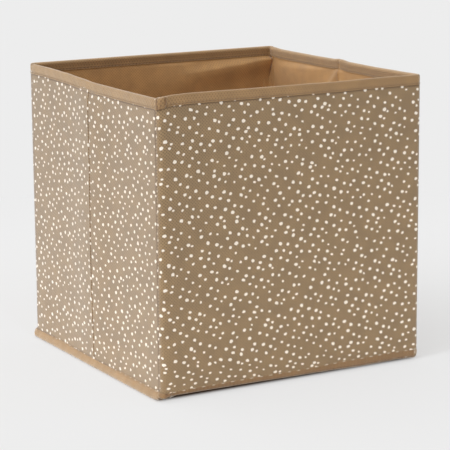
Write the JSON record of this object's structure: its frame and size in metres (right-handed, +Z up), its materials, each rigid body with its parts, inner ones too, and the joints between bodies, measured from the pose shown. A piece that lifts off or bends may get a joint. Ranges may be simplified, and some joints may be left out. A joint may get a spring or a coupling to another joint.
{
  "type": "fabric storage bin",
  "caption": "Square open-top storage cube of dotted non-woven cloth over card panels, with taped edges, whose side walls crease inwards so that it folds flat.",
  "frame": {"origin": "on the ground, under the middle of the bin", "axes": "+X along the front wall towards the right wall, +Y from the front wall to the back wall, +Z up; the front wall faces -Y"},
  "size_m": [0.308, 0.305, 0.3],
  "materials": {
    "printed_cloth": "matte",
    "lining_cloth": "matte",
    "tape": "matte",
    "card": "matte"
  },
  "bodies": {
    "front_wall": {"front_cover": "printed_cloth", "front_board": "card", "front_lining": "lining_cloth", "front_rim_binding": "tape", "front_foot_binding": "tape", "floor_cover": "printed_cloth", "floor_lining": "lining_cloth"},
    "back_wall": {"back_cover": "printed_cloth", "back_board": "card", "back_lining": "lining_cloth", "back_rim_binding": "tape", "back_foot_binding": "tape"},
    "left_front_panel": {"left_front_cover": "printed_cloth", "left_front_board": "card", "left_front_lining": "lining_cloth", "left_front_rim_binding": "tape", "left_front_foot_binding": "tape"},
    "left_rear_panel": {"left_rear_cover": "printed_cloth", "left_rear_board": "card", "left_rear_lining": "lining_cloth", "left_rear_rim_binding": "tape", "left_rear_foot_binding": "tape"},
    "right_front_panel": {"right_front_cover": "printed_cloth", "right_front_board": "card", "right_front_lining": "lining_cloth", "right_front_rim_binding": "tape", "right_front_foot_binding": "tape"},
    "right_rear_panel": {"right_rear_cover": "printed_cloth", "right_rear_board": "card", "right_rear_lining": "lining_cloth", "right_rear_rim_binding": "tape", "right_rear_foot_binding": "tape"}
  },
  "joints": [
    {"name": "left_front_corner", "type": "hinge", "parent": "front_wall", "child": "left_front_panel", "pos_m": [-0.1467, -0.1452, 0.15], "axis": [0, 0, -1], "range_deg": [0, 88], "deforming": ["floor_cover", "floor_lining"]},
    {"name": "left_crease", "type": "hinge", "parent": "left_front_panel", "child": "left_rear_panel", "pos_m": [-0.1542, 0, 0.15], "axis": [0, 0, 1], "range_deg": [0, 176]},
    {"name": "left_back_corner", "type": "hinge", "parent": "left_rear_panel", "child": "back_wall", "pos_m": [-0.1467, 0.1452, 0.15], "axis": [0, 0, -1], "range_deg": [0, 88]},
    {"name": "right_front_corner", "type": "hinge", "parent": "front_wall", "child": "right_front_panel", "pos_m": [0.1467, -0.1452, 0.15], "axis": [0, 0, 1], "range_deg": [0, 88]},
    {"name": "right_crease", "type": "hinge", "parent": "right_front_panel", "child": "right_rear_panel", "pos_m": [0.1542, 0, 0.15], "axis": [0, 0, -1], "range_deg": [0, 176]}
  ],
  "couplings": [
    {"joint": "left_crease", "follows": "left_front_corner", "ratio": 2},
    {"joint": "left_back_corner", "follows": "left_front_corner", "ratio": 1},
    {"joint": "right_front_corner", "follows": "left_front_corner", "ratio": 1},
    {"joint": "right_crease", "follows": "left_front_corner", "ratio": 2}
  ]
}
